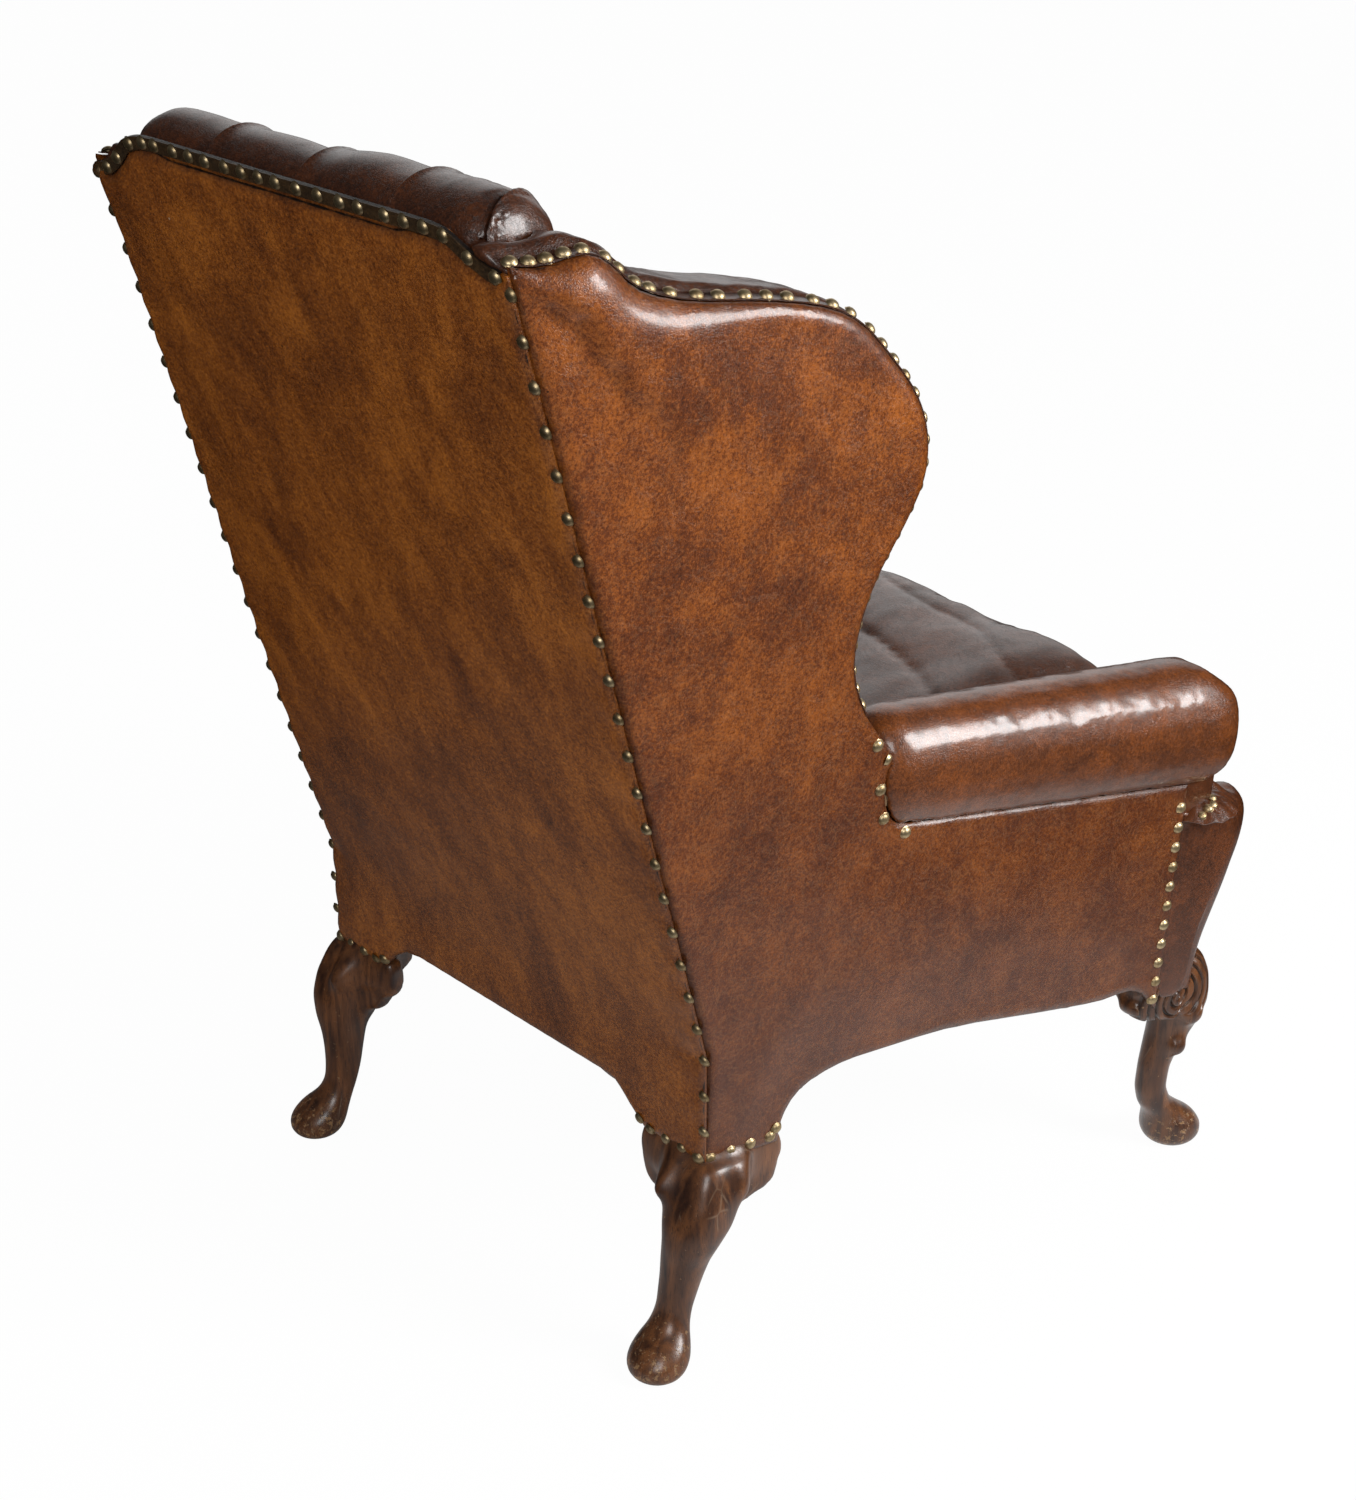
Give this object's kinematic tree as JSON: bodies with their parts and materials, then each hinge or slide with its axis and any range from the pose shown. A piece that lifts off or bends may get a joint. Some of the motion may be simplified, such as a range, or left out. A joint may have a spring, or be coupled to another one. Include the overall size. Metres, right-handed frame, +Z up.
{
  "type": "wingback armchair",
  "caption": "High-backed leather armchair with curved side wings, rolled arms, a loose seat cushion and carved cabriole legs.",
  "frame": {"origin": "on the floor, under the middle of the chair's bounding box, on its mirror plane", "axes": "+Z up; the chair faces -Y, so the tall back is at +Y; +X is the sitter's left"},
  "size_m": [0.8714, 0.9112, 1.1528],
  "materials": {
    "outer_leather": "polished hand-dyed brown leather, mottled tan",
    "inner_leather": "polished dark chocolate leather",
    "cushion_leather": "polished dark chocolate leather, creased",
    "leg_wood": "dark polished walnut or mahogany, worn",
    "frame_wood": "plain sawn beech",
    "webbing": "jute webbing",
    "hessian": "plain hessian",
    "stuffing": "stuffing in calico",
    "springs": "coppered steel wire",
    "black_cloth": "black dust cloth"
  },
  "bodies": {
    "chair": {"arm_hessian_left": "hessian", "arm_hessian_right": "hessian", "arm_pad_left": "inner_leather", "arm_pad_right": "inner_leather", "arm_post_left": "frame_wood", "arm_post_right": "frame_wood", "arm_rail_left": "frame_wood", "arm_rail_right": "frame_wood", "arm_roll_left": "outer_leather", "arm_roll_right": "outer_leather", "back_hessian": "hessian", "back_post_left": "frame_wood", "back_post_right": "frame_wood", "back_stuffing_rail": "frame_wood", "back_top_rail": "frame_wood", "back_webbing": "webbing", "bottom_cloth": "black_cloth", "corner_block_front_left": "frame_wood", "corner_block_front_right": "frame_wood", "corner_block_rear_left": "frame_wood", "corner_block_rear_right": "frame_wood", "front_border": "outer_leather", "front_seat_rail": "frame_wood", "inside_back_pad": "inner_leather", "leg_front_left": "leg_wood", "leg_front_right": "leg_wood", "leg_rear_left": "leg_wood", "leg_rear_right": "leg_wood", "outside_back_cover": "outer_leather", "outside_side_cover_left": "outer_leather", "outside_side_cover_right": "outer_leather", "rear_seat_rail": "frame_wood", "seat_hessian": "hessian", "seat_spring_1": "springs", "seat_spring_2": "springs", "seat_spring_3": "springs", "seat_spring_4": "springs", "seat_spring_5": "springs", "seat_spring_6": "springs", "seat_spring_7": "springs", "seat_spring_8": "springs", "seat_spring_9": "springs", "seat_stuffing": "stuffing", "seat_webbing": "webbing", "side_seat_rail_left": "frame_wood", "side_seat_rail_right": "frame_wood", "side_stuffing_rail_left": "frame_wood", "side_stuffing_rail_right": "frame_wood", "wing_hessian_left": "hessian", "wing_hessian_right": "hessian", "wing_pad_left": "inner_leather", "wing_pad_right": "inner_leather", "wing_post_left": "frame_wood", "wing_post_right": "frame_wood", "wing_rail_left": "frame_wood", "wing_rail_right": "frame_wood"},
    "cushion": {"seat_cushion": "cushion_leather"}
  },
  "joints": [
    {"name": "cushion_lift", "type": "slide", "parent": "chair", "child": "cushion", "axis": [0, 0, 1], "range_m": [0, 0.26]}
  ]
}
